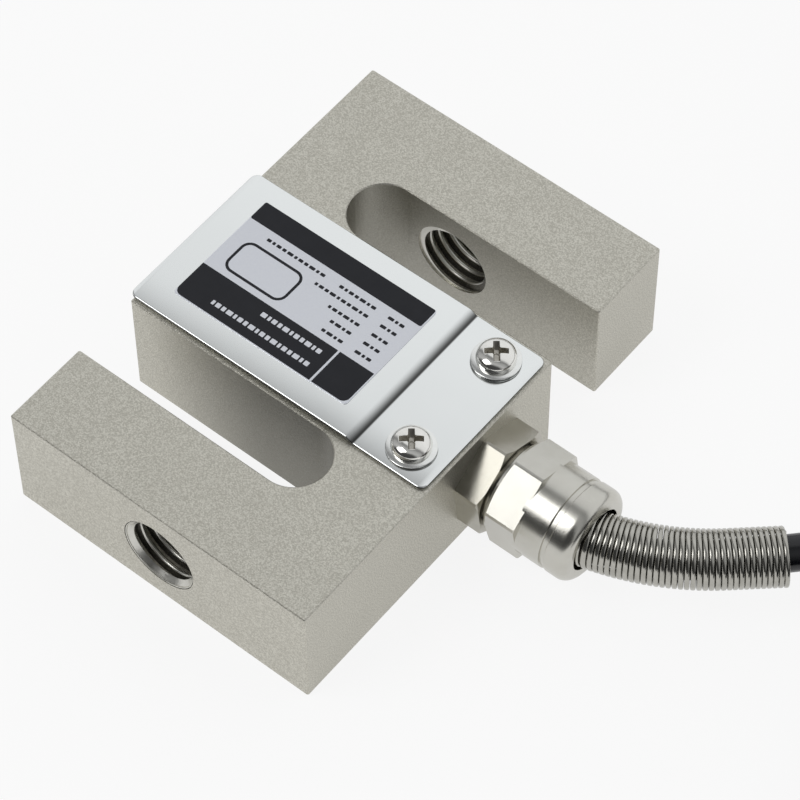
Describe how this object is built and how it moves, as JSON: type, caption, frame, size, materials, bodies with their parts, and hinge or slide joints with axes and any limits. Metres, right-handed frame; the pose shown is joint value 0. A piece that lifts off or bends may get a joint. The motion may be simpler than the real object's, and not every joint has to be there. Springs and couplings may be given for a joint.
{
  "type": "s type load cell",
  "caption": "S-shaped tension and compression load cell with threaded ends, a covered gauge pocket and a spring-guarded cable.",
  "frame": {"origin": "centre of the block's back face, on which the load cell lies", "axes": "+X towards the cable gland, +Y along the load axis towards the upper threaded hole, +Z out through the cover plate"},
  "size_m": [0.1938, 0.085, 0.0219],
  "materials": {
    "nickel_plate": "bead-blasted alloy steel with matt nickel plating, bright along machined edges",
    "polished_steel": "polished stainless sheet",
    "black_sealant": "black sealing compound",
    "label_foil": "silver foil label with black printed bars and plain ruled lines",
    "plated_screw": "nickel-plated steel, cross recess",
    "nickel_brass": "nickel-plated brass, turned and lightly scratched",
    "black_rubber": "soft black rubber",
    "nylon": "natural nylon",
    "spring_wire": "nickel-plated spring wire",
    "cable_sheath": "smooth black cable sheath",
    "shrink_sleeve": "black heat-shrink sleeve",
    "tinned_copper": "tinned copper strands",
    "foam_pad": "white adhesive foam",
    "board_green": "green circuit board with tinned pads",
    "resistor_black": "chip resistors",
    "gauge_foil": "foil gauges on amber film",
    "wire_red": "red wire insulation",
    "wire_black": "black wire insulation",
    "wire_green": "green wire insulation",
    "wire_white": "white wire insulation"
  },
  "bodies": {
    "root": {"load_body": "nickel_plate", "cover_plate": "polished_steel", "cover_seal": "black_sealant", "rating_label": "label_foil", "cover_screw_lower": "plated_screw", "cover_screw_upper": "plated_screw", "cover_washer_lower": "plated_screw", "cover_washer_upper": "plated_screw", "gland_body": "nickel_brass", "gland_cap": "nickel_brass", "gland_seal": "black_rubber", "gland_claw": "nylon", "guard_spring": "spring_wire", "cable_inner": "cable_sheath", "cable_run": "cable_sheath", "cable_coil": "cable_sheath", "cable_end_sleeve": "shrink_sleeve", "lead_strands": "tinned_copper", "board_pad": "foam_pad", "terminal_board": "board_green", "trim_resistors": "resistor_black", "strain_gauge_upper_left": "gauge_foil", "strain_gauge_upper_right": "gauge_foil", "strain_gauge_lower_left": "gauge_foil", "strain_gauge_lower_right": "gauge_foil", "lead_red": "wire_red", "core_red": "wire_red", "lead_black": "wire_black", "core_black": "wire_black", "lead_green": "wire_green", "core_green": "wire_green", "lead_white": "wire_white", "core_white": "wire_white"}
  },
  "joints": []
}
